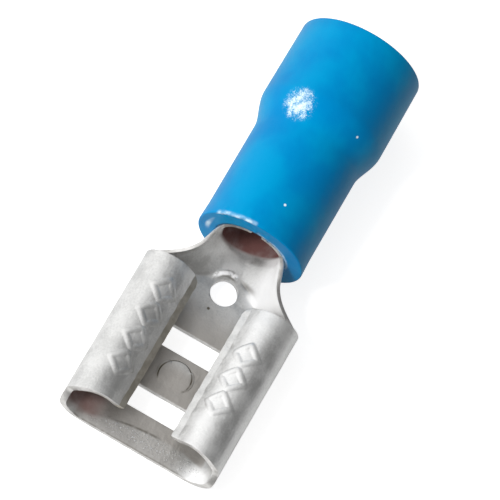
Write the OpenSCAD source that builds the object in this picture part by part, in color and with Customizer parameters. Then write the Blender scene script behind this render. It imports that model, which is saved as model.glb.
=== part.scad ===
// Female spade terminal with a flared insulating sleeve.
// +X runs from the tab's entry to the wire's entry, +Z is up, and the tab slides in on z = 0.

/* [Receptacle] */
// Thickness of the metal strip
stock = 0.3; // [0.25:0.05:0.4]
// Outer width over the two rolls
receptacle_w = 7.4; // [6.6:0.1:8.8]
// Length from the mouth to the square back ends of the rolls
receptacle_l = 7.65; // [6.6:0.05:9.2]
// Thickness of the tab that slides in
tab_t = 0.8; // [0.5:0.1:0.9]
// Free height left over the tab
tab_play = 0.05; // [0.02:0.01:0.1]
// Outer radius of the bend that forms a roll
roll_r = 1.175; // [1.1:0.025:1.35]
// Slope of a roll's tip, in degrees below the horizontal
roll_lean = 45; // [40:1:50]
// Width of the flat under each roll's tip, which presses on the tab
tip_land = 0.43; // [0.3:0.01:0.5]
// Width of the bevel coined along each roll's tip
tip_bevel = 0.25; // [0.1:0.05:0.25]
// Setback of the rolls' front edges at their outer sides
mouth_setback = 0.47; // [0.3:0.01:0.7]
// Further setback of the front edges at the rolls' tips
tip_setback = 0.43; // [0.1:0.01:0.5]
// Height over which the mouth's corners curve back to that setback
corner_h = 0.7; // [0.4:0.05:0.8]
// Bevel that leads the tab onto the floor
lead_in = 0.06; // [0.03:0.01:0.15]

/* [Floor] */
// Length of each window in the floor
window_l = 1.08; // [0.8:0.02:1.3]
// Width of each window, reaching under the rolls
window_w = 3.3; // [2.6:0.1:4]
// Start of the window nearer the mouth
window_x = 1.6; // [1.2:0.1:1.8]
// Length of the bridge between the windows
bridge_l = 2.02; // [1.7:0.02:2.3]
// Radius of the round detent on the bridge
detent_r = 0.72; // [0.5:0.02:0.8]
// Height of the detent at its steep back
detent_h = 0.14; // [0.1:0.02:0.2]
// Length of the detent's ramp
detent_l = 1.2; // [0.8:0.05:1.3]

/* [Neck] */
// Length of the neck between the rolls and the barrel
neck_l = 2.23; // [1.9:0.01:2.7]
// Share of the neck's narrowing that runs straight, the rest being quick
neck_taper = 0.42; // [0.3:0.02:0.6]
// Radius of the round hole in the neck
hole_r = 0.6; // [0.4:0.05:0.65]
// Distance of the hole's centre behind the rolls
hole_setback = 0.51; // [0.45:0.01:0.65]
// Start of the step that stops the tab, behind the rolls
step_setback = 0.75; // [0.6:0.05:0.9]
// Length of the step's slope
step_l = 0.45; // [0.35:0.05:0.6]
// Angle above the horizontal that the flanges reach at the barrel
flange_rise = 23; // [10:1:35]

/* [Wire barrel] */
// Bore radius of the wire barrel
barrel_bore_r = 1.35; // [1.1:0.05:1.65]
// Length of the wire barrel
barrel_l = 5; // [4:0.1:6]
// Height of the barrel's axis above the tab's lower face
axis_z = 1.6; // [1.4:0.05:1.9]
// Width of the seam along the barrel's top
seam_w = 0.16; // [0.1:0.02:0.3]
// Width of the seam where it opens at the front rim
seam_mouth_w = 0.5; // [0.3:0.05:0.7]
// Length of that opening
seam_mouth_l = 0.35; // [0.2:0.05:0.5]
// Number of grip grooves inside the barrel
groove_n = 3; // [0:1:4]
// Width of a grip groove
groove_w = 0.3; // [0.2:0.05:0.4]
// Depth of a grip groove
groove_d = 0.08; // [0.04:0.02:0.12]

/* [Sleeve] */
// Length of the insulating sleeve
sleeve_l = 10.27; // [9:0.1:12.3]
// Wall of the sleeve over the barrel
sleeve_wall = 0.79; // [0.6:0.01:0.95]
// Clearance between the barrel and the sleeve's bore
sleeve_gap = 0.02; // [0.01:0.01:0.05]
// Swelling of the sleeve's front rim
rim_swell = 0.03; // [0:0.01:0.06]
// Length over which that swelling fades
swell_l = 1; // [0.6:0.1:1.4]
// Bore radius of the funnel, for the insulated wire
funnel_bore_r = 2.1; // [1.9:0.05:2.5]
// Wall of the funnel just behind the taper
funnel_wall = 0.77; // [0.6:0.01:0.95]
// Draw-in of the funnel's outer radius at its open end
funnel_draw = 0.035; // [0:0.005:0.06]
// Length of the taper behind the barrel
taper_l = 1.65; // [1.2:0.05:2.2]
// Radius that rounds the sleeve's outer rims
rim_round = 0.12; // [0.06:0.02:0.3]
// Bevel inside the sleeve's rims
rim_bevel = 0.04; // [0.02:0.01:0.1]

/* [Hidden] */
$fn = 96;

slot_h = tab_t + tab_play;
bend_y = receptacle_w / 2 - roll_r;
bend_z = roll_r - stock;
lean_end = 90 + roll_lean;
lean_fall = tan(roll_lean);
lean_outer = [bend_y, bend_z] + polar(roll_r, lean_end);
lean_inner = [bend_y, bend_z] + polar(roll_r - stock, lean_end);
land_y = lean_inner[0] - (lean_inner[1] - slot_h) / lean_fall;
tip_y = land_y - tip_land;
side_y = bend_y + 0.8 * (roll_r - stock); // where the bend's inside is still under half the slot
bridge_x = window_x + window_l + bridge_l / 2;
detent_x = bridge_x + detent_r;
barrel_r = barrel_bore_r + stock;
neck_x = receptacle_l;
barrel_x = neck_x + neck_l;
hole_x = neck_x + hole_setback;
sleeve_bore_r = barrel_r + sleeve_gap;
sleeve_r = sleeve_bore_r + sleeve_wall;
funnel_r = funnel_bore_r + funnel_wall;
past = 0.5; // how far a cut runs past what it cuts
bite = 0.2; // how far the neck reaches into its neighbours
lap = 0.02; // how much the neck is thinner than its neighbours, so it ends inside them
neck_power = 5; // how quickly the neck narrows where it isn't straight
neck_rings = 20;
neck_steps = 15; // across each half of the neck

function mix(a, b, t) = a + (b - a) * t;
function clamp01(t) = min(1, max(0, t));
function ease(t) = let (u = clamp01(t)) u * u * (3 - 2 * u);
function polar(r, angle) = [r * cos(angle), r * sin(angle)];

// Stands a section drawn in (y, z) up and extrudes it along +X
module along_x(from, to) {
    translate([from, 0, 0]) rotate([90, 0, 90]) linear_extrude(to - from) children();
}

// Extrudes a side view drawn in (x, z) across the whole receptacle
module across_y() {
    translate([0, receptacle_w / 2 + past, 0])
        rotate([90, 0, 0]) linear_extrude(receptacle_w + 2 * past) children();
}

// Lays a shape that stands on Z down along the barrel's axis, starting at x
module on_axis(x) {
    translate([x, 0, axis_z]) rotate([0, 90, 0]) children();
}

// Part of a ring of sheet, from angle a0 to angle a1
module bend(r, a0, a1) {
    reach = 2 * r;
    intersection() {
        difference() {
            circle(r);
            circle(r - stock);
        }
        polygon([[0, 0], for (k = [0:4]) polar(reach, mix(a0, a1, k / 4))]);
    }
}

// Section of one roll: the bend up and over, then the straight tip that ends above the tab
module roll_section() {
    bevel_y = tip_y + tip_bevel;
    translate([bend_y, bend_z]) bend(roll_r, -90, lean_end);
    polygon([
        lean_outer,
        [bevel_y, lean_outer[1] - (lean_outer[0] - bevel_y) * lean_fall],
        [tip_y, slot_h],
        [land_y, slot_h],
        lean_inner
    ]);
}

module receptacle_section() {
    translate([-bend_y, -stock]) square([2 * bend_y, stock]);
    for (side = [0, 1]) mirror([side, 0]) roll_section();
}

// Plan view of what is cleared in front of the rolls' slanting front edges, inside side_y
module front_trim() {
    front_x = mouth_setback + tip_setback;
    polygon([
        [-past, 0], [front_x, 0], [front_x, tip_y], [mouth_setback, side_y], [-past, side_y]
    ]);
}

// The same outside side_y
module side_trim() {
    translate([-past, side_y]) square([past + mouth_setback, receptacle_w]);
}

// Cuts a plan view, and its mirror image, out of everything above z
module cut_above(z) {
    translate([0, 0, z]) linear_extrude(2 * roll_r) for (side = [0, 1]) mirror([0, side]) children();
}

// Shapes the mouth: the rolls' front edges, the corners below them and the floor's bevel
module mouth() {
    steps = 10;
    low = bend_z - corner_h / 2;
    cut_above(slot_h / 2) front_trim();
    cut_above(low + corner_h) side_trim();
    across_y() polygon(concat(
        [[-past, low]],
        [for (k = [0:steps]) [mouth_setback * ease(k / steps), low + corner_h * k / steps]],
        [[-past, low + corner_h]]
    ));
    across_y() polygon([[-past, -lead_in - past], [lead_in + past, past], [-past, past]]);
}

module windows() {
    for (x = [window_x, window_x + window_l + bridge_l])
        translate([x, -window_w / 2, -stock - past]) cube([window_l, window_w, stock + 2 * past]);
}

// Side view of all that lies between height z and the detent's sloping face, or the face below it
module detent_side(z, face) {
    polygon([
        [detent_x - detent_l, z], [detent_x - detent_l, face],
        [detent_x, face + detent_h], [detent_x, z]
    ]);
}

module detent_patch() {
    intersection() {
        translate([bridge_x, 0, -stock - past]) cylinder(r = detent_r, h = stock + 2 * past);
        across_y() children();
    }
}

module receptacle() {
    difference() {
        union() {
            difference() {
                along_x(0, receptacle_l) receptacle_section();
                mouth();
                windows();
            }
            detent_patch() detent_side(-stock / 2, 0);
        }
        detent_patch() detent_side(-stock - past, -stock);
    }
}

// Neck: one sheet that turns from the receptacle's channel into the barrel's round.
// t runs from 0 at the rolls to 1 at the barrel, and s from -1 to 1 across the sheet.
function neck_narrowing(t) = mix(pow(1 - t, neck_power) * (1 + neck_power * t), 1 - t, neck_taper);
function neck_half_w(t) = mix(barrel_r, receptacle_w / 2, neck_narrowing(t));
function neck_bend_r(t) = mix(roll_r, barrel_r, ease(t)) - stock / 2;
function neck_wrap(t) = 90 + flange_rise * t;
function neck_floor(t) = let (step = (t * neck_l - step_setback) / step_l)
    mix(-stock, axis_z - barrel_r, ease(step)) + stock / 2;
function neck_mid(x, s) =
    let (
        t = clamp01((x - neck_x) / neck_l),
        r = neck_bend_r(t),
        flat = max(0, neck_half_w(t) - r - stock / 2),
        along = abs(s) * (flat + r * neck_wrap(t) * PI / 180),
        angle = max(0, along - flat) / r * 180 / PI
    )
    [x, sign(s) * (min(along, flat) + r * sin(angle)), neck_floor(t) + r * (1 - cos(angle))];
function unit(v) = v / norm(v);
function neck_normal(x, s) =
    let (dx = 0.02, ds = 0.01)
    unit(cross(
        neck_mid(x + dx, s) - neck_mid(x - dx, s),
        neck_mid(x, min(1, s + ds)) - neck_mid(x, max(-1, s - ds))
    ));
function neck_skin(side) = [
    for (i = [0:neck_rings], k = [-neck_steps:neck_steps])
        let (x = mix(neck_x - bite, barrel_x + bite, i / neck_rings), s = k / neck_steps)
        neck_mid(x, s) + neck_normal(x, s) * side * (stock / 2 - lap)
];

module neck() {
    row = 2 * neck_steps + 1;
    far = row * (neck_rings + 1);
    last = row * neck_rings;
    quads = concat(
        [for (i = [0:neck_rings - 1], k = [0:row - 2])
            let (a = i * row + k) [a, a + 1, a + row + 1, a + row]],
        [for (i = [0:neck_rings - 1], k = [0:row - 2])
            let (a = far + i * row + k) [a, a + row, a + row + 1, a + 1]],
        [for (i = [0:neck_rings - 1])
            let (a = i * row) [a, a + row, a + row + far, a + far]],
        [for (i = [0:neck_rings - 1])
            let (a = i * row + row - 1) [a, a + far, a + row + far, a + row]],
        [for (k = [0:row - 2]) [k, k + far, k + 1 + far, k + 1]],
        [for (k = [0:row - 2]) let (a = last + k) [a, a + 1, a + 1 + far, a + far]]
    );
    polyhedron(concat(neck_skin(1), neck_skin(-1)), quads);
}

module neck_hole() {
    translate([hole_x, 0, -stock - past]) cylinder(r = hole_r, h = 2 * stock + 2 * past);
}

module barrel() {
    pitch = barrel_l / (groove_n + 1);
    on_axis(barrel_x) difference() {
        cylinder(r = barrel_r, h = barrel_l);
        translate([0, 0, -past]) cylinder(r = barrel_bore_r, h = barrel_l + 2 * past);
        for (k = [1:1:groove_n])
            translate([0, 0, k * pitch - groove_w / 2]) cylinder(r = barrel_bore_r + groove_d, h = groove_w);
    }
}

// The seam runs along the barrel's top and opens where its corners are cut at the front
module seam() {
    translate([barrel_x, 0, axis_z]) linear_extrude(barrel_r + past) polygon([
        [-past, -seam_mouth_w / 2], [0, -seam_mouth_w / 2], [seam_mouth_l, -seam_w / 2],
        [barrel_l + past, -seam_w / 2], [barrel_l + past, seam_w / 2],
        [seam_mouth_l, seam_w / 2], [0, seam_mouth_w / 2], [-past, seam_mouth_w / 2]
    ]);
}

module terminal() {
    color("silver") difference() {
        union() {
            receptacle();
            neck();
            barrel();
        }
        neck_hole();
        seam();
    }
}

// Outer radius of the sleeve at a distance behind its front rim
function sleeve_outer(x) =
    let (
        taper = ease((x - barrel_l) / taper_l),
        funnel_t = clamp01((x - barrel_l - taper_l) / (sleeve_l - barrel_l - taper_l)),
        swell = rim_swell * (1 - ease(x / swell_l))
    )
    mix(sleeve_r + swell, funnel_r - funnel_draw * funnel_t, taper);

// Half section of the sleeve: radius against distance behind the front rim
module sleeve_section() {
    front_r = sleeve_outer(rim_round) - rim_round;
    back_r = sleeve_outer(sleeve_l - rim_round) - rim_round;
    steps = 12;
    translate([front_r, rim_round]) circle(rim_round);
    translate([back_r, sleeve_l - rim_round]) circle(rim_round);
    polygon(concat(
        [[sleeve_bore_r + rim_bevel, 0], [front_r, 0], [front_r + rim_round, rim_round]],
        [for (k = [1:steps]) let (x = mix(rim_round, swell_l, k / steps)) [sleeve_outer(x), x]],
        [for (k = [0:steps]) let (x = barrel_l + taper_l * k / steps) [sleeve_outer(x), x]],
        [
            [back_r + rim_round, sleeve_l - rim_round], [back_r, sleeve_l],
            [funnel_bore_r + rim_bevel, sleeve_l], [funnel_bore_r, sleeve_l - rim_bevel],
            [funnel_bore_r, barrel_l + taper_l], [sleeve_bore_r, barrel_l],
            [sleeve_bore_r, rim_bevel]
        ]
    ));
}

module sleeve() {
    color("dodgerblue") on_axis(barrel_x) rotate_extrude() sleeve_section();
}

terminal();
sleeve();
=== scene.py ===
import math
import bpy
import bmesh
from mathutils import Matrix, Vector, noise


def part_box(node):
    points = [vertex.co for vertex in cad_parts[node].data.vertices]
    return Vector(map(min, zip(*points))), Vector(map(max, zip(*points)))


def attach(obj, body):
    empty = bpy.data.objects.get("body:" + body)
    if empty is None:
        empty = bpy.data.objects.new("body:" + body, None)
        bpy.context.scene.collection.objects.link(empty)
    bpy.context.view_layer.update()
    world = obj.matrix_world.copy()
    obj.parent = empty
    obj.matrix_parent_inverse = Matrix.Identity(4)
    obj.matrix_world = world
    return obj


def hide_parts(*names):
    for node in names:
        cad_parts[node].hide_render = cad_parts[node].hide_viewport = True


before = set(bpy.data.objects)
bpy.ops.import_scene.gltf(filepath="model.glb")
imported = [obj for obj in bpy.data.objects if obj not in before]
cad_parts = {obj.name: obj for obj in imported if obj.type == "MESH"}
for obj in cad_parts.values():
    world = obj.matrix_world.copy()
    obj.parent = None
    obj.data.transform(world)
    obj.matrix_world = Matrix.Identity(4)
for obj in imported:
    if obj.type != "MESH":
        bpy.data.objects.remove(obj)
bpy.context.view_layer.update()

mm = 0.001  # the sizes below are in millimetres, and a mesh is scaled once, when it is finished

cameraSetup = {
    "elevation": 67.072, "heading": 2.606, "roll": 27.57,  # degrees
    "distance": 235.158, "lens": 399.0,
    "target": (9.982, -0.0453, 1.1915),
}


def makeCamera(setup):
    elevation, heading, roll = (math.radians(setup[key]) for key in ("elevation", "heading", "roll"))
    forward = Vector((math.cos(heading) * math.cos(elevation), math.sin(heading) * math.cos(elevation),
                      -math.sin(elevation)))
    flatRight = Vector((math.sin(heading), -math.cos(heading), 0))
    flatUp = flatRight.cross(forward)
    right = math.cos(roll) * flatRight + math.sin(roll) * flatUp
    up = -math.sin(roll) * flatRight + math.cos(roll) * flatUp
    place = Vector(setup["target"]) - forward * setup["distance"]
    camera = bpy.data.objects.new("camera", bpy.data.cameras.new("camera"))
    camera.data.lens = setup["lens"]
    camera.data.sensor_width = 36
    camera.data.clip_start = 0.01
    camera.data.clip_end = 5
    turn = Matrix((right, up, -forward)).transposed().to_4x4()
    camera.matrix_world = Matrix.Translation(place * mm) @ turn
    bpy.context.scene.collection.objects.link(camera)
    bpy.context.scene.camera = camera


makeCamera(cameraSetup)
print("camera is in place")


def mix(a, b, t):
    return a + (b - a) * t


def clamp(t):
    return min(1, max(0, t))


def ease(t):
    t = clamp(t)
    return t * t * (3 - 2 * t)


def bump(distance, width):
    return math.exp(-(distance / width) ** 2)


def spread(stops, cells):  # each stretch between two stops is shared out evenly
    places = [stops[0]]
    for start, end, count in zip(stops, stops[1:], cells):
        places += [mix(start, end, (k + 1) / count) for k in range(count)]
    return places


def finishPiece(bm, name, node, materials):
    bmesh.ops.scale(bm, vec=(mm, mm, mm), verts=bm.verts)
    mesh = bpy.data.meshes.new(name)
    bm.to_mesh(mesh)
    bm.free()
    for polygon in mesh.polygons:
        polygon.use_smooth = True
    for material in materials:
        mesh.materials.append(material)
    piece = bpy.data.objects.new(name, mesh)
    bpy.context.scene.collection.objects.link(piece)
    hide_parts(node)
    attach(piece, "root")
    return piece


terminalLow, terminalHigh = (corner / mm for corner in map(Vector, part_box("terminal")))
sleeveLow, sleeveHigh = (corner / mm for corner in map(Vector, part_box("sleeve")))

strip = {
    "thickness": 0.3,
    "halfWidth": terminalHigh.y,
    "bendRadius": 1.175,  # outside of a roll
    "leanTurn": 225, "leanLength": 0.45,  # a roll turns this far, then runs straight
    "tipTurn": 206, "tipLength": 0.32,  # its coined tip lies a little flatter
    "rollEnd": 7.65,
    "sideSetback": 0.47, "tipSetback": 0.43,  # front edges of the rolls
    "cornerLow": 0.525, "cornerHeight": 0.7, "slantStart": 3.225, "slantWidth": 2.15,
    "tipCorner": 0.45, "tipCornerFade": 1.5,  # rear corner of a roll's tip
    "windowHalfWidth": 1.65, "windowStarts": (1.6, 4.7), "windowLength": 1.08,
    "detentX": 3.69, "detentRadius": 0.71, "detentHeight": 0.1, "detentRamp": 1.2,
    "holeX": 8.16, "holeRadius": 0.6,
    "stepStart": 8.45, "stepLength": 1.45,  # the floor's step in the middle of the neck
    "sideStepStart": 0.3, "sideStepLength": 1.7,  # and at the flanges, from the rolls on
    "stepFade": 1.6, "stepInset": 0.3,  # how fast, and how far out, the one turns into the other
    "barrelStart": sleeveLow.x, "barrelEnd": terminalHigh.x,
    "axisHeight": 1.6, "barrelRadius": 1.65,
    "flangeRise": 23, "neckTaper": 0.42, "neckPower": 5,
    "neckDish": 0.3, "dishRise": (0.03, 0.45), "dishFall": (0.6, 0.4),  # start and length along the neck
    "seamHalfWidth": 0.08, "seamMouthHalfWidth": 0.25, "seamMouthLength": 0.35,
    "edgeRound": 0.05, "edgeAngle": 50,
    "leadDepth": 0.06, "leadLength": 0.95, "leadMiddle": -0.8, "leadCurve": 0.061,  # pressed lead-in at the mouth
    "leadHalfWidth": 2.6, "leadFade": 0.5, "leadLeast": 0.05,
    "filletRadius": 0.4,  # between flange and barrel
    "flangeEdge": 0.5, "thinWidth": 0.7, "thinFade": 0.3, "rimThinLength": 0.5,  # the edges are pressed thinner
    "outerMouth": 2, "outerStart": 8.8, "outerLength": 1.1,  # thinned from the inside alone before and behind these
    "waves": 0.008, "tipWaves": 0.03, "tipWaveFade": 0.3,  # the sheet isn't quite even, least of all at its tips
    "punchX": 8.8, "punchReach": 0.7,  # the hole's punch left its marks in this stretch
    "burrHeight": 0.15, "burrRadius": 0.86, "burrWidth": 0.11, "burrTurn": 0.42, "burrSpread": 0.5,
    "dentDepth": 0.07, "dentX": 8.84, "dentY": -0.85, "dentSlant": 0.3, "dentWidth": 0.12, "dentLength": 0.42,
    "markTurn": 198, "markHeight": 0.06, "markLine": 0.11, "markSize": 0.36,
    "marks": ((2.35, 1), (3.6, 1), (4.85, 1), (6.1, 1), (2.9, -1), (4.15, -1), (5.4, -1)),  # x and side
}

middle = -strip["thickness"] / 2  # height of the floor's middle surface
rollRadius = strip["bendRadius"] - strip["thickness"] / 2
floorHalf = strip["halfWidth"] - strip["bendRadius"]
leanTurn, tipTurn = math.radians(strip["leanTurn"]), math.radians(strip["tipTurn"])
sideArc = floorHalf + rollRadius * math.pi / 2
leanArc = floorHalf + rollRadius * leanTurn
creaseArc = leanArc + strip["leanLength"]
tipArc = creaseArc + strip["tipLength"]
markArc = floorHalf + rollRadius * math.radians(strip["markTurn"])
neckLength = strip["barrelStart"] - strip["rollEnd"]


def rollSection(along):  # where a point of the receptacle's strip lies, as (y, z)
    side, along = math.copysign(1, along), abs(along)
    turn = max(0, min(along, leanArc) - floorHalf) / rollRadius
    straight = clamp((along - leanArc) / strip["leanLength"]) * strip["leanLength"]
    tip = max(0, along - creaseArc)
    y = min(along, floorHalf) + rollRadius * math.sin(turn)
    y += straight * math.cos(leanTurn) + tip * math.cos(tipTurn)
    z = middle + rollRadius * (1 - math.cos(turn))
    z += straight * math.sin(leanTurn) + tip * math.sin(tipTurn)
    return side * y, z


def frontEdge(along):  # how far the strip's front edge is set back
    turn = clamp((abs(along) - floorHalf) / (leanArc - floorHalf)) * leanTurn
    height = middle + rollRadius - strip["bendRadius"] * math.cos(turn)
    setback = strip["sideSetback"] * ease((height - strip["cornerLow"]) / strip["cornerHeight"])
    if turn > math.pi / 2:
        slant = (strip["slantStart"] - abs(rollSection(along)[0])) / strip["slantWidth"]
        setback += strip["tipSetback"] * clamp(slant)
    return setback


def rearCorner(x, along):  # rounds the rolls' tips off at the back
    size = strip["tipCorner"]
    past = clamp((abs(along) - tipArc + size) / size)
    return size * (1 - math.sqrt(1 - past * past)) * clamp((x - strip["rollEnd"]) / strip["tipCornerFade"] + 1)


def neckShape(x):  # flat half width, radius and total half width of the sheet there
    t = clamp((x - strip["rollEnd"]) / neckLength)
    quick = (1 - t) ** strip["neckPower"] * (1 + strip["neckPower"] * t)
    narrowing = mix(quick, 1 - t, strip["neckTaper"])
    halfWidth = mix(strip["barrelRadius"], strip["halfWidth"], narrowing)
    radius = mix(strip["bendRadius"], strip["barrelRadius"], ease(t)) - strip["thickness"] / 2
    flat = max(0, halfWidth - radius - strip["thickness"] / 2)
    wrap = math.radians(90 + strip["flangeRise"] * t)
    across, up = radius * math.sin(wrap), radius * (1 - math.cos(wrap))  # the flange's edge stays here
    riseStart, riseLength = strip["dishRise"]
    fallStart, fallLength = strip["dishFall"]
    dished = strip["neckDish"] * flat * ease((t - riseStart) / riseLength)
    dished *= 1 - ease((t - fallStart) / fallLength)
    flat, across = flat - dished, across + dished
    wrap = 2 * math.atan2(up, across)
    radius = up / (1 - math.cos(wrap))
    return flat, radius, flat + radius * wrap


def floorHeight(x, share):  # the step behind the hole, gentler towards the flanges
    outward = ease(strip["stepFade"] * abs(share) - strip["stepInset"])
    start = mix(strip["stepStart"], strip["rollEnd"] + strip["sideStepStart"], outward)
    length = mix(strip["stepLength"], strip["sideStepLength"], outward)
    raised = strip["axisHeight"] - strip["barrelRadius"] + strip["thickness"] / 2
    return mix(middle, raised, ease((x - start) / length))


def stripPoint(x, along):  # the folded place of a point of the flat strip
    share = along / sideArc
    if x <= strip["rollEnd"]:
        y, z = rollSection(along)
        return Vector((x, y, z))
    flat, radius, total = neckShape(x)
    wrap = (total - flat) / radius
    if abs(share) <= 1:
        reach = abs(share) * total
        turn = max(0, reach - flat) / radius
        reach = min(reach, flat)
    else:
        opening = 1 - clamp((x - strip["barrelStart"]) / strip["seamMouthLength"])
        gap = mix(strip["seamHalfWidth"], strip["seamMouthHalfWidth"], opening)
        turn = mix(wrap, math.pi - gap / radius, (abs(along) - sideArc) / (tipArc - sideArc))
        reach = flat
    y = math.copysign(reach + radius * math.sin(turn), along)
    return Vector((x, y, floorHeight(x, share) + radius * (1 - math.cos(turn))))


def floorScale(x):
    return neckShape(x)[2] / sideArc


def roundPatch(x, along, patch):  # draws the grid's squares round the patch's middle out into circles
    halfX, halfAlong, outer = patch["halfX"], patch["halfAlong"], patch["outer"]
    dx, dy = (x - patch["x"]) / halfX, along / halfAlong
    ring = max(abs(dx), abs(dy))
    if ring >= outer or ring == 0:
        return x, along, ring
    length = math.hypot(dx, dy)
    reach = patch["radius"] * min(1, ring)
    newX, newAlong = patch["x"] + reach * dx / length, reach * dy / length
    if ring > 1:
        t = ((ring - 1) / (outer - 1)) ** patch["curve"]
        edgeX = patch["x"] + halfX * dx / ring * outer
        newX = mix(newX, edgeX, t)
        newAlong = mix(newAlong, halfAlong * dy / ring * outer * floorScale(edgeX), t)
    return newX, newAlong / floorScale(newX), ring


def roundedCorner(x, along):  # rounds the notch where the flange's edge meets the barrel's front edge
    size = strip["filletRadius"]
    draw = 2  # the flat grid is about twice as wide there as the sheet
    ahead, beyond = x - strip["barrelStart"], (abs(along) - sideArc) / draw
    edgeX, edgeUp = max(-size, min(0, ahead)), max(0, min(size, beyond))
    if abs(ahead) > 2 * size or abs(beyond) > 2 * size:
        return x, along
    turn = math.pi / 4 * (1 + edgeX / size if edgeX < 0 else 1 + edgeUp / size)
    fade = 1 - ease(math.hypot(ahead - edgeX, beyond - edgeUp) / size)
    x += fade * (size * (math.sin(turn) - 1) - edgeX)
    return x, along + math.copysign(draw * fade * (size * (1 - math.cos(turn)) - edgeUp), along)


def leadShare(x, along):  # one at the mouth's lip, nothing where the lead-in ends
    end = strip["leadLength"] - strip["leadCurve"] * (along - strip["leadMiddle"]) ** 2
    beside = ease((abs(along) - strip["leadHalfWidth"]) / strip["leadFade"])
    return clamp(1 - x / max(end, strip["leadLeast"])) * (1 - beside)


def gauge(x, along):  # thickness of the sheet there, as a share of the stock
    pastRolls, pastRim = x - strip["rollEnd"], x - strip["barrelStart"]
    if pastRolls <= 0:
        thinned = 0
    elif abs(along) < sideArc:
        nearFlange = (1 - ease((sideArc - abs(along)) / strip["thinWidth"])) * ease(pastRolls / strip["thinFade"])
        thinned = nearFlange * (1 - ease(pastRim / strip["thinFade"]))
    else:
        thinned = 1 - ease(pastRim / strip["rimThinLength"])
    lead = leadShare(x, along) * strip["leadDepth"] / strip["thickness"]
    return 1 - thinned * (1 - strip["flangeEdge"]) - lead


def lumps(x, y, perMm, layer):  # soft noise from about -1 to 1
    return noise.noise(Vector((x * perMm, y * perMm, layer)))


def markLift(x, along):  # plain coined diamonds along the rolls
    lift = 0
    for markX, side in strip["marks"]:
        if along * side > 0:
            out = (abs(x - markX) + abs(abs(along) - markArc)) / math.sqrt(2)
            line = abs(out - strip["markSize"])
            lift = max(lift, 1 - ease(line / strip["markLine"]))
    return lift * strip["markHeight"]


def neckLift(x, y):  # metal pushed up and down round the hole when it was punched
    if abs(x - strip["punchX"]) >= strip["punchReach"]:
        return 0
    rough = 0.85 + 0.4 * lumps(x, y, 4, 2)
    fromHole = math.hypot(x - strip["holeX"], y)
    turn = math.atan2(y, x - strip["holeX"])
    ridge = strip["burrHeight"] * bump(fromHole - strip["burrRadius"], strip["burrWidth"])
    ridge = ridge * bump(turn - strip["burrTurn"], strip["burrSpread"]) * rough
    beside = y - strip["dentY"]
    dent = strip["dentDepth"] * bump(x - strip["dentX"] - strip["dentSlant"] * beside, strip["dentWidth"])
    dent *= bump(beside, strip["dentLength"])
    return (ridge - dent) * (1 - ease(abs(y) - 1))


def stripLift(x, along, y, thickness, onDetent):  # how far the sheet's middle is moved off its folded place
    lift = strip["waves"] * lumps(x, along, 0.8, 5) - markLift(x, along)
    nearTip = ease((abs(along) - creaseArc + strip["tipWaveFade"]) / strip["tipWaveFade"])
    lift += strip["tipWaves"] * lumps(x, along, 2.5, 8) * nearTip
    outerStays = 1 if x < strip["outerMouth"] else ease((x - strip["outerStart"]) / strip["outerLength"])
    lift -= outerStays * (1 - thickness) * strip["thickness"] / 2
    if onDetent:
        rampStart = strip["detentX"] + strip["detentRadius"] - strip["detentRamp"]
        lift += strip["detentHeight"] * clamp((x - rampStart) / strip["detentRamp"])
    return lift + neckLift(x, y)


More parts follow.
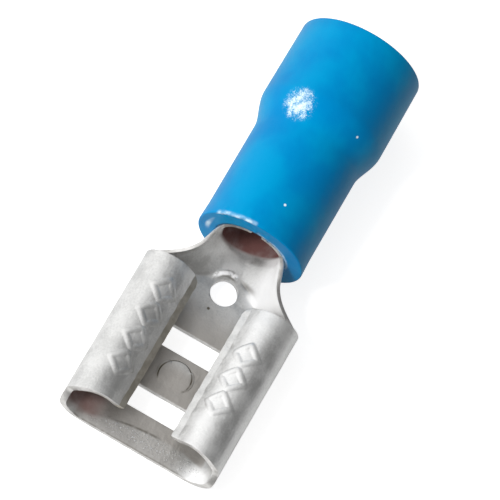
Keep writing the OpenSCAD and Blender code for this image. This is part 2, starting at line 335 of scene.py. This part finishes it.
def makeTerminal(materials):
    windowEdges = [start + shift for start in strip["windowStarts"] for shift in (0, strip["windowLength"])]
    holeHalf = strip["holeX"] - strip["rollEnd"]
    lipEnd, rimEnd, patchHalf, sideFold = 0.13, 10.4, 1.02, 5.05  # finer cells end here
    bridge, bridgeCells = round(windowEdges[2] - windowEdges[1], 3), 36
    holeCells, detentCells, detentSideCells = 10, 10, 9  # from the middle of each to its edge
    rows = spread([0, lipEnd] + windowEdges + [strip["rollEnd"], strip["rollEnd"] + 2 * holeHalf,
                                               strip["barrelStart"], rimEnd, strip["barrelEnd"]],
                  [1, 26, 18, bridgeCells, 18, 34, 18, 22, 8, 18])
    half = spread([0, patchHalf, strip["windowHalfWidth"], floorHalf, sideArc, sideFold, creaseArc, tipArc],
                  [17, 6, 7, 14, 8, 38, 6])
    columns = [-place for place in half[:0:-1]] + half
    hole = {"x": strip["holeX"], "halfX": holeHalf, "halfAlong": half[holeCells],
            "radius": strip["holeRadius"], "outer": 1.8, "curve": 1}
    detent = {"x": strip["detentX"], "halfX": detentCells * bridge / bridgeCells,
              "halfAlong": half[detentSideCells], "radius": strip["detentRadius"], "outer": 1.7, "curve": 1.5}
    bm = bmesh.new()
    bmesh.ops.create_grid(bm, x_segments=len(rows) - 1, y_segments=len(columns) - 1, size=1)
    gaugeLayer = bm.verts.layers.deform.new("gauge")
    flatPlace, lifts = {}, {}
    for vert in bm.verts:
        x = rows[round((vert.co.x + 1) / 2 * (len(rows) - 1))]
        along = columns[round((vert.co.y + 1) / 2 * (len(columns) - 1))]
        flatPlace[vert] = x, along
        windowEnd = strip["windowStarts"][0]
        if x < windowEnd:
            x += frontEdge(along) * (1 - x / windowEnd)
        elif x <= strip["rollEnd"]:
            x -= rearCorner(x, along)
        x, along, _ = roundPatch(x, along, hole)
        x, along, detentRing = roundPatch(x, along, detent)
        x, along = roundedCorner(x, along)
        vert.co = stripPoint(x, along)
        vert[gaugeLayer][0] = gauge(x, along)
        lifts[vert] = stripLift(x, along, vert.co.y, vert[gaugeLayer][0], detentRing <= 1)
    cutAway = []
    for face in bm.faces:
        x = sum(flatPlace[vert][0] for vert in face.verts) / 4
        along = sum(flatPlace[vert][1] for vert in face.verts) / 4
        inWindow = abs(along) < strip["windowHalfWidth"] and any(
            start < x < start + strip["windowLength"] for start in strip["windowStarts"])
        inHole = max(abs(x - hole["x"]) / hole["halfX"], abs(along) / hole["halfAlong"]) < 1
        besideNeck = abs(along) > sideArc and strip["rollEnd"] < x < strip["barrelStart"]
        if inWindow or inHole or besideNeck:
            cutAway.append(face)
        elif along > creaseArc and x < strip["rollEnd"]:
            face.material_index = 2  # one roll's tip is bare
    bmesh.ops.delete(bm, geom=cutAway, context="FACES")
    bm.normal_update()
    for vert in bm.verts:
        vert.co += vert.normal * lifts[vert]
    piece = finishPiece(bm, "terminalStrip", "terminal", materials)
    piece.vertex_groups.new(name="gauge")
    solid = piece.modifiers.new("sheet", "SOLIDIFY")
    solid.thickness = strip["thickness"] * mm
    solid.offset = 0
    solid.use_even_offset = True
    solid.vertex_group = "gauge"
    solid.thickness_vertex_group = 0
    solid.material_offset_rim = 1  # the cut edges take the next material
    rounding = piece.modifiers.new("rounding", "BEVEL")
    rounding.limit_method = "ANGLE"
    rounding.angle_limit = math.radians(strip["edgeAngle"])
    rounding.width = strip["edgeRound"] * mm
    rounding.segments = 2
    piece.modifiers.new("shading", "WEIGHTED_NORMAL")
    return piece


tube = {
    "front": sleeveLow.x, "back": sleeveHigh.x,
    "boreRadius": 1.67, "radius": 2.46, "rimSwell": 0.03, "swellLength": 1.0, "swellRings": 5,
    "taperStart": 5.0, "taperLength": 1.65, "taperRings": 14,  # behind the front rim
    "funnelRadius": sleeveHigh.y, "funnelBore": 2.1, "funnelDraw": 0.035,
    "rimRound": 0.06, "lipRound": 0.5,
    "nicks": (((9.88, 0.1, 3.4), 0.25), ((9.88, -0.5, 3.3), 0.3),  # centre and reach
              ((9.88, 1.6, 3.45), 0.3), ((9.88, 0.7, 3.95), 0.35)),
    "nickDepth": 0.09, "nickLumps": 5, "nickSeed": 1,
    "steps": 200,
}


def makeSleeve(materials):
    front, back, axis = tube["front"], tube["back"], strip["axisHeight"]
    taperStart = front + tube["taperStart"]
    taperEnd = taperStart + tube["taperLength"]
    outside = [(front + tube["swellLength"] * k / tube["swellRings"],
                tube["radius"] + tube["rimSwell"] * (1 - ease(k / tube["swellRings"])))
               for k in range(tube["swellRings"] + 1)]
    outside += [(taperStart + tube["taperLength"] * k / tube["taperRings"],
                 mix(tube["radius"], tube["funnelRadius"], ease(k / tube["taperRings"])))
                for k in range(tube["taperRings"] + 1)]
    outside.append((back, tube["funnelRadius"] - tube["funnelDraw"]))
    inside = [(back, tube["funnelBore"]), (taperEnd, tube["funnelBore"]),
              (taperStart, tube["boreRadius"]), (front, tube["boreRadius"])]
    bm = bmesh.new()
    ring = [bm.verts.new((x, 0, axis + radius)) for x, radius in outside + inside]
    for a, b in zip(ring, ring[1:] + ring[:1]):
        bm.edges.new((a, b))
    backOuter, backInner, boreWide, boreNarrow = ring[len(outside) - 1:len(outside) + 3]
    funnelCorner = ring[len(outside) - 2]
    rounds = ((ring[0], tube["rimRound"]), (funnelCorner, tube["rimRound"]), (backOuter, tube["rimRound"]),
              (backInner, tube["lipRound"]), (boreWide, tube["lipRound"]), (boreNarrow, tube["rimRound"]))
    for corner, size in rounds:
        bmesh.ops.bevel(bm, geom=[corner], offset=size, affect="VERTICES", segments=4, profile=0.5, material=-1)
    for longest, cuts in ((1.5, 9), (0.5, 7)):  # long edges are cut up for the bends and nicks
        edges = [edge for edge in bm.edges if edge.calc_length() > longest]
        bmesh.ops.subdivide_edges(bm, edges=edges, cuts=cuts)
    bmesh.ops.spin(bm, geom=bm.verts[:] + bm.edges[:], cent=(0, 0, axis), axis=(1, 0, 0), dvec=(0, 0, 0),
                   angle=math.tau, steps=tube["steps"], use_merge=True)
    bmesh.ops.remove_doubles(bm, verts=bm.verts, dist=0.001)
    bmesh.ops.recalc_face_normals(bm, faces=bm.faces)
    noise.seed_set(tube["nickSeed"])  # unseeded, the nicks would change from run to run
    for vert in bm.verts:  # the cut front rim is nicked in places
        for place, reach in tube["nicks"]:
            near = bump((vert.co - Vector(place)).length, reach)
            if near > 0.02:
                vert.co += noise.noise_vector(vert.co * tube["nickLumps"]) * near * tube["nickDepth"]
    return finishPiece(bm, "sleeveTube", "sleeve", materials)


def addNode(material, kind, inputs=None, **settings):
    node = material.node_tree.nodes.new("ShaderNode" + kind)
    for name, value in settings.items():
        setattr(node, name, value)
    for name, value in (inputs or {}).items():
        if isinstance(value, bpy.types.NodeSocket):
            material.node_tree.links.new(value, node.inputs[name])
        else:
            node.inputs[name].default_value = value
    return node


def maths(material, operation, a, b=0.0):
    return addNode(material, "Math", {0: a, 1: b}, operation=operation).outputs[0]


def between(material, source, low, high, start=0.0, end=1.0):  # a soft step from start to end
    inputs = {"Value": source, "From Min": low, "From Max": high, "To Min": start, "To Max": end}
    return addNode(material, "MapRange", inputs, interpolation_type="SMOOTHSTEP").outputs[0]


def blendColour(material, amount, first, second):
    node = addNode(material, "Mix", {0: amount}, data_type="RGBA")
    for socket, colour in ((node.inputs[6], first), (node.inputs[7], second)):
        if isinstance(colour, bpy.types.NodeSocket):
            material.node_tree.links.new(colour, socket)
        else:
            socket.default_value = (*colour, 1)
    return node.outputs[2]


def placeInMm(material, stretch=(1, 1, 1), centre=(0, 0, 0)):
    where = addNode(material, "TexCoord").outputs["Object"]
    scale = [1000 * s for s in stretch]  # object coordinates are in metres
    location = [-c * s for c, s in zip(centre, stretch)]
    return addNode(material, "Mapping", {"Vector": where, "Scale": scale, "Location": location}).outputs[0]


def cloud(material, size, detail=3.0, stretch=(1, 1, 1), shift=0.0):  # soft noise with lumps of this size
    vector = placeInMm(material, stretch, (shift, shift, shift))
    return addNode(material, "TexNoise", {"Vector": vector, "Scale": 1 / size, "Detail": detail}).outputs[0]


def awayFrom(material, centre, stretch=(1, 1, 1)):  # distance in mm, each direction stretched
    vector = placeInMm(material, stretch, centre)
    return addNode(material, "VectorMath", {0: vector}, operation="LENGTH").outputs["Value"]


def newFinish(name, metallic, roughness):
    material = bpy.data.materials.new(name)
    material.use_nodes = True
    shader = material.node_tree.nodes["Principled BSDF"]
    shader.inputs["Metallic"].default_value = metallic
    shader.inputs["Roughness"].default_value = roughness
    return material, shader


def feed(material, shader, **sources):
    for name, source in sources.items():
        material.node_tree.links.new(source, shader.inputs[name.replace("_", " ")])


def raiseBump(material, height, depth, under=None):  # depth in mm
    inputs = {"Height": height, "Distance": depth * mm, "Strength": 1.0}
    if under:
        inputs["Normal"] = under
    return addNode(material, "Bump", inputs).outputs[0]


def rootOfSquares(material, a, b):
    squares = maths(material, "ADD", maths(material, "MULTIPLY", a, a), maths(material, "MULTIPLY", b, b))
    return maths(material, "SQRT", squares)


def allOf(material, first, *others):
    for other in others:
        first = maths(material, "MULTIPLY", first, other)
    return first


def anyOf(material, first, *others):
    for other in others:
        first = maths(material, "MAXIMUM", first, other)
    return first


def lineAt(material, source, place, inner, outer, strength=1.0):  # a soft line where the source has this value
    off = maths(material, "ABSOLUTE", maths(material, "SUBTRACT", source, place))
    return between(material, off, inner, outer, strength, 0)


def stretchOf(material, source, grow, fade):  # grows between two values, and fades between two more
    return allOf(material, between(material, source, *grow), between(material, source, *fade, 1, 0))


tin = {
    "light": (0.84, 0.84, 0.83), "grey": (0.64, 0.64, 0.63), "insideShadeBrown": (0.19, 0.088, 0.08),
    # line colours the lines of painted shade on the floor and round the hole, and one dark pit
    "floorTanColour": (0.49, 0.455, 0.415), "line": (0.10, 0.08, 0.05),
    "speck": (0.96, 0.96, 0.96), "burrHighlight": (0.97, 0.97, 0.97), "highlightWhite": (0.98, 0.98, 0.98),
    "roughness": 0.48, "metallic": 0.86, "dulling": 0.6,  # dull places are less metallic by this much
    "detentShadow": 0.02, "spot": (7.2, 0.25, 0),
    "arcMiddle": 0.03, "arcSide": 0.05, "arcRadius": 0.69,  # from the hole's middle
    "dentShadeX": 9.095, "dentShadeSlant": 0.3,
    "burrHighlightRadius": 0.87,
    "rollRadius": (0.84, 0.98), "barrelRadius": (1.38, 1.48),  # inner faces, which take the painted shade
    "highlightCorner": (0.1, -2.95, 0.1),
}


def floorMarks(material, x, sideY, z):  # a darker tan over the floor, most behind the lead-in; pits with painted glints before it; lines of painted shade; and one dark pit
    leadY = maths(material, "SUBTRACT", sideY, strip["leadMiddle"])
    leadBack = allOf(material, leadY, leadY, strip["leadCurve"])
    pastLead = maths(material, "SUBTRACT", maths(material, "ADD", x, leadBack), strip["leadLength"])
    onFloor = allOf(material, stretchOf(material, z, (-0.2, -0.13), (0.05, 0.12)),
                    between(material, maths(material, "ABSOLUTE", sideY), 2.9, 3.1, 1, 0))
    floorTan = anyOf(material, between(material, pastLead, -0.05, 0.1), between(material, sideY, -2.6, -1.4))
    floorTan = allOf(material, onFloor, between(material, pastLead, -0.05, 0.1, 0.65, 1),
                    between(material, x, 6.0, 8.0, 0.75, 0.1), floorTan)
    # pits before the lead-in, with painted glints in them
    pitGlints = allOf(material, onFloor, between(material, pastLead, -0.12, -0.02, 1, 0),
                   between(material, cloud(material, 0.085, 1, shift=9), 0.60, 0.66),
                   between(material, x, 0.1, 0.3))
    leadCreaseShade = allOf(material, onFloor, lineAt(material, pastLead, 0, 0.0, 0.09),
                     stretchOf(material, sideY, (-1.1, -0.4), (0.6, 1.9)),
                     between(material, cloud(material, 0.5), 0.35, 0.5, 0.2, 0.65))
    fromDetent = awayFrom(material, (strip["detentX"], 0, 0), (1, 1, 0))
    detentShadow = allOf(material, onFloor,
                       lineAt(material, fromDetent, strip["detentRadius"] + tin["detentShadow"], 0.01, 0.05),
                       between(material, x, 3.2, 3.5),
                       between(material, cloud(material, 0.6, shift=5), 0.38, 0.5, 0.35, 0.95))
    lipShade = allOf(material, onFloor, between(material, x, 0.02, 0.1, 0.35, 0),
                    between(material, cloud(material, 0.3, shift=6), 0.3, 0.5))
    spot = allOf(material, onFloor,
                 between(material, awayFrom(material, tin["spot"], (1, 1, 0)), 0.04, 0.09, 0.9, 0))
    return floorTan, pitGlints, anyOf(material, leadCreaseShade, detentShadow, lipShade, spot)


def neckMarks(material, x, sideY, z):  # painted shade round the hole's rim and in the dent, and a painted highlight on the burr
    nearHole = awayFrom(material, (strip["holeX"] + tin["arcMiddle"], tin["arcSide"], 0), (1, 1, 0))
    holeRimShade = allOf(material, lineAt(material, nearHole, tin["arcRadius"], 0.01, 0.06, 0.5),
                stretchOf(material, sideY, (-0.3, 0.0), (0.4, 0.6)), between(material, x, 8.4, 8.6))
    lowDown = between(material, z, 0.4, 0.5, 1, 0)
    slanted = maths(material, "SUBTRACT", x, maths(material, "MULTIPLY", sideY, tin["dentShadeSlant"]))
    dentShade = allOf(material, lineAt(material, slanted, tin["dentShadeX"], 0.03, 0.16, 0.5),
                  stretchOf(material, sideY, (-1.4, -1.0), (-0.7, -0.3)), lowDown)
    # a painted highlight on the burr, white and less metallic
    fromHole = awayFrom(material, (strip["holeX"], 0, 0), (1, 1, 0))
    burrHighlight = allOf(material, lineAt(material, fromHole, tin["burrHighlightRadius"], 0.05, 0.15),
                 between(material, x, 8.45, 8.55), stretchOf(material, sideY, (-0.25, -0.1), (0.7, 0.85)),
                 lowDown, between(material, cloud(material, 0.16, 3, shift=15), 0.36, 0.5))
    return anyOf(material, holeRimShade, dentShade), burrHighlight


def paintedShadeInside(material, x, sideY, z):  # brown painted shade inside the rolls and the barrel, reaching onto the floor under the rolls
    y = maths(material, "ABSOLUTE", sideY)
    rollY = maths(material, "SUBTRACT", y, floorHalf)
    rollY = anyOf(material, rollY, maths(material, "MULTIPLY", rollY, 0.5))
    rollZ = maths(material, "SUBTRACT", z, strip["bendRadius"] - strip["thickness"])
    outerOrLow = anyOf(material, between(material, y, floorHalf - 0.1, floorHalf),
                       between(material, z, 0.3, 0.5, 1, 0))
    inRoll = allOf(material, between(material, rootOfSquares(material, rollY, rollZ), *tin["rollRadius"], 1, 0),
                   outerOrLow, between(material, x, 0.05, 0.5), between(material, sideY, -1, 1),
                   between(material, x, strip["rollEnd"] - 0.05, strip["rollEnd"] + 0.05, 1, 0))
    barrelZ = maths(material, "SUBTRACT", z, strip["axisHeight"])
    barrelX = maths(material, "ADD", x, maths(material, "MULTIPLY", sideY, 0.16))  # it starts on a slant
    inBarrel = allOf(material, between(material, rootOfSquares(material, y, barrelZ), *tin["barrelRadius"], 1, 0),
                     between(material, barrelX, 10.02, 10.25))
    return allOf(material, anyOf(material, inRoll, inBarrel),
                 between(material, cloud(material, 0.7, 3, shift=11), 0.2, 0.6, 0.75, 1.0))


def paintedHighlightPlaces(material, x, sideY, z):  # painted highlights, white and less metallic: on one flange, one corner of the mouth and the top of one roll
    flange = allOf(material, stretchOf(material, sideY, (-3.4, -2.7), (-1.4, -0.5)),
                   stretchOf(material, x, (7.8, 8.5), (10.3, 10.6)))
    corner = between(material, awayFrom(material, tin["highlightCorner"]), 0.3, 0.9, 1, 0)
    rollTop = allOf(material, between(material, z, 1.3, 1.9, 0, 0.36),
                    stretchOf(material, sideY, (-2.95, -2.25), (-1.5, -1.0)),
                    between(material, x, 7.7, 7.9, 1, 0))
    return anyOf(material, flange, corner, rollTop)


def makeTinPlate():
    material, shader = newFinish("tinPlate", 1.0, tin["roughness"])
    blotches = cloud(material, 1.1, 4)
    streaks = cloud(material, 0.12, 2, (0.12, 1, 1), 3)
    grain = cloud(material, 0.09, 2, shift=7)
    tone = maths(material, "ADD", maths(material, "MULTIPLY", blotches, 0.7),
                 maths(material, "MULTIPLY", grain, 0.3))
    place = addNode(material, "SeparateXYZ", {0: placeInMm(material)}).outputs
    floorTan, pitGlints, floorShadeAndDirt = floorMarks(material, *place)
    neckPaintedShade, burrHighlight = neckMarks(material, *place)
    insideShadeBrown = paintedShadeInside(material, *place)
    paintedHighlight = paintedHighlightPlaces(material, *place)
    highlightWhitening = allOf(material, paintedHighlight, maths(material, "SUBTRACT", 1, insideShadeBrown), 0.9)

    colour = blendColour(material, between(material, tone, 0.36, 0.62), tin["grey"], tin["light"])
    # a darker tan over the floor, most of all behind the lead-in
    colour = blendColour(material, floorTan, colour, tin["floorTanColour"])
    # pits on the mouth's floor, with painted glints
    colour = blendColour(material, pitGlints, colour, tin["speck"])
    # lines of painted shade, and one dark pit on the floor
    colour = blendColour(material, anyOf(material, floorShadeAndDirt, neckPaintedShade), colour, tin["line"])
    # painted highlight on the burr
    colour = blendColour(material, burrHighlight, colour, tin["burrHighlight"])
    # painted shade, brown, inside the rolls and the barrel
    colour = blendColour(material, insideShadeBrown, colour, tin["insideShadeBrown"])
    # painted highlights, white
    colour = blendColour(material, highlightWhitening, colour, tin["highlightWhite"])

    # the painted shade and the painted highlights are made less metallic
    dull = anyOf(material, insideShadeBrown, burrHighlight, paintedHighlight)
    metallic = maths(material, "SUBTRACT", tin["metallic"], maths(material, "MULTIPLY", dull, tin["dulling"]))
    rough = maths(material, "ADD", blotches, maths(material, "MULTIPLY", grain, 0.4))
    rough = between(material, rough, 0.5, 0.95, tin["roughness"] - 0.08, tin["roughness"] + 0.12)
    normal = raiseBump(material, blotches, 0.045)
    for height, depth in ((cloud(material, 0.3, 2, shift=13), 0.012), (streaks, 0.006), (grain, 0.005),
                          (pitGlints, 0.02)):
        normal = raiseBump(material, height, depth, normal)
    feed(material, shader, Base_Color=colour, Roughness=rough, Normal=normal, Metallic=metallic)
    return material


bareEdges = {  # darker and lighter colour
    "wornEdge": ((0.66, 0.65, 0.63), (0.84, 0.83, 0.81)),
    "bareTip": ((0.58, 0.54, 0.46), (0.72, 0.68, 0.60)),
    "bareRim": ((0.66, 0.62, 0.53), (0.80, 0.77, 0.70)),
}


def makeBareEdge(name):
    material, shader = newFinish(name, 1.0, 0.42)
    dark, light = bareEdges[name]
    wear = cloud(material, 0.35, 3)
    colour = blendColour(material, between(material, wear, 0.35, 0.65), dark, light)
    normal = raiseBump(material, cloud(material, 0.1, 2, shift=5), 0.008)
    feed(material, shader, Base_Color=colour, Normal=normal)
    return material


vinyl = {
    "deep": (0.0, 0.20, 0.49), "bright": (0.0, 0.26, 0.54),
    "scuffHighlight": (0.72, 0.86, 0.94), "speck": (0.8, 0.9, 0.95),
    "roughness": 0.42, "specular": 0.3, "tint": (0.0, 1.0, 0.75),
    "scuffHighlightPatches": (((15.9, 1.05, 3.98), 0.55, 0.035), ((15.8, 1.2, 3.9), 0.95, 0.045)),  # patches of scuff flecks with a painted highlight: centre, reach, lumps
    "rimScuffHighlights": ((2.46, 0.1, 0.2, 1.9, 0.3), (1.74, 0.09, -1.9, 0.1, 0.3),
                  (2.05, 0.16, 1.95, 2.3, 0.8)),  # whitened flecks with painted edge highlights along the front rim: radius, half width, first y, last y, lumps
    "specks": (((11.363, -0.414, 4.025), 0.07), ((15.854, -1.591, 3.782), 0.07)),  # centre and reach
}


# whitish scuff flecks on the taper and the front rim, partly real scuffing and partly painted highlight
def scuffsAndHighlights(material):
    scuffAndHighlight = 0.0
    for centre, reach, size in vinyl["scuffHighlightPatches"]:
        near = between(material, awayFrom(material, centre), 0.0, reach, 0.34, 0.0)
        grain = maths(material, "ADD", cloud(material, size, 2, shift=2), cloud(material, 0.3, 3, shift=2))
        flecks = between(material, maths(material, "ADD", grain, near), 0.98, 1.5, 0, 1)
        scuffAndHighlight = anyOf(material, scuffAndHighlight, allOf(material, flecks, between(material, near, 0.0, 0.08)))
    xyz = addNode(material, "SeparateXYZ", {0: placeInMm(material, (1, 1, 1), (0, 0, strip["axisHeight"]))})
    x, y, z = xyz.outputs
    radius = rootOfSquares(material, y, z)
    for rim, width, first, last, size in vinyl["rimScuffHighlights"]:
        near = allOf(material, lineAt(material, radius, rim, width * 0.3, width),
                     between(material, z, -0.6, 0.2),
                     between(material, x, tube["front"] + 0.03, tube["front"] + 0.2, 1, 0),
                     stretchOf(material, y, (first - 0.1, first + 0.1), (last - 0.1, last + 0.1)))
        flecks = between(material, cloud(material, size, 6, shift=2), 0.35, 0.68, 0.15, 0.8)
        scuffAndHighlight = anyOf(material, scuffAndHighlight, allOf(material, near, flecks))
    return scuffAndHighlight


def makeBlueVinyl():
    material, shader = newFinish("blueVinyl", 0.0, vinyl["roughness"])
    clouds = cloud(material, 2.5, 3)
    colour = blendColour(material, between(material, clouds, 0.35, 0.65), vinyl["deep"], vinyl["bright"])
    scuffAndHighlight = scuffsAndHighlights(material)
    # scuffs with painted highlight
    colour = blendColour(material, scuffAndHighlight, colour, vinyl["scuffHighlight"])
    for centre, reach in vinyl["specks"]:
        spot = between(material, awayFrom(material, centre), reach * 0.6, reach, 1, 0)
        colour = blendColour(material, spot, colour, vinyl["speck"])
    normal = raiseBump(material, clouds, 0.05)
    normal = raiseBump(material, cloud(material, 0.3, 3, shift=4), 0.006, normal)
    normal = raiseBump(material, scuffAndHighlight, 0.01, normal)
    feed(material, shader, Base_Color=colour, Normal=normal)
    shader.inputs["Specular IOR Level"].default_value = vinyl["specular"]
    shader.inputs["Specular Tint"].default_value = (*vinyl["tint"], 1)
    return material


makeTerminal([makeTinPlate()] + [makeBareEdge(name) for name in bareEdges])
print("terminal is folded")
makeSleeve([makeBlueVinyl()])
print("sleeve is turned")


studio = {
    "restX": 16.53,  # the sleeve's funnel lies on the floor here
    "floorSize": 300, "floorGlow": 0.82, "mirroredShare": 0.42,  # the metal mirrors this share of the glow
    "floorGap": 0.01,
    "softBox": (-0.16, 0.88, 0.44),  # where the big soft light stands
    "dark": 0.13, "middle": 0.29, "light": 0.95,
    "spark": {"place": (-57, 76, 125), "aim": (10, 0, 1), "size": 44, "radiance": 38},
    "paper": ((0.47, 0.47, 0.47), (0.51, 0.51, 0.51)),
}


def makeFloor():
    slope = (terminalLow.z - sleeveLow.z) / studio["restX"]
    bm = bmesh.new()
    bmesh.ops.create_grid(bm, x_segments=1, y_segments=1, size=studio["floorSize"])
    bmesh.ops.rotate(bm, verts=bm.verts, cent=(0, 0, 0), matrix=Matrix.Rotation(math.atan(slope), 3, "Y"))
    bmesh.ops.translate(bm, verts=bm.verts, vec=(0, 0, terminalLow.z - studio["floorGap"]))
    bmesh.ops.scale(bm, vec=(mm, mm, mm), verts=bm.verts)
    mesh = bpy.data.meshes.new("floor")
    bm.to_mesh(mesh)
    bm.free()
    floor = bpy.data.objects.new("floor", mesh)
    bpy.context.scene.collection.objects.link(floor)
    material, shader = newFinish("floorPaper", 0.0, 1.0)
    fibres = cloud(material, 3.0, 4)
    feed(material, shader, Base_Color=blendColour(material, fibres, *studio["paper"]))
    shader.inputs["Emission Color"].default_value = (1, 1, 1, 1)
    path = addNode(material, "LightPath")
    mirrored = maths(material, "MULTIPLY", path.outputs["Is Glossy Ray"], studio["mirroredShare"])
    seen = maths(material, "MAXIMUM", path.outputs["Is Camera Ray"], mirrored)
    seen = maths(material, "MAXIMUM", seen, path.outputs["Is Transmission Ray"])
    glow = maths(material, "MULTIPLY", seen, studio["floorGlow"])
    feed(material, shader, Emission_Strength=glow)
    mesh.materials.append(material)


def areaLight(name, place, aim, size, radiance):
    lamp = bpy.data.objects.new(name, bpy.data.lights.new(name, "AREA"))
    lamp.data.shape = "DISK"
    lamp.data.size = size * mm
    lamp.data.energy = radiance * math.pi * math.pi * (size * mm / 2) ** 2
    lamp.location = Vector(place) * mm
    lamp.visible_glossy = False  # it lights, but isn't mirrored in the metal
    lamp.rotation_euler = (Vector(aim) - Vector(place)).to_track_quat("-Z", "Y").to_euler()
    bpy.context.scene.collection.objects.link(lamp)


def makeSky():
    world = bpy.data.worlds.new("studioSky")
    bpy.context.scene.world = world
    world.use_nodes = True
    direction = addNode(world, "TexCoord").outputs["Generated"]
    toKey = addNode(world, "VectorMath", {0: direction, 1: studio["softBox"]}, operation="DOT_PRODUCT")
    toKey = toKey.outputs["Value"]
    lower = between(world, toKey, -0.9, 0.4, studio["dark"], studio["middle"])
    upper = between(world, toKey, 0.28, 0.8, 0, studio["light"])
    background = world.node_tree.nodes["Background"]
    background.inputs[0].default_value = (1, 1, 1, 1)
    world.node_tree.links.new(maths(world, "ADD", lower, upper), background.inputs[1])


makeFloor()
makeSky()
areaLight("spark", **studio["spark"])
bpy.context.scene.view_settings.view_transform = "Standard"
print("studio is lit")
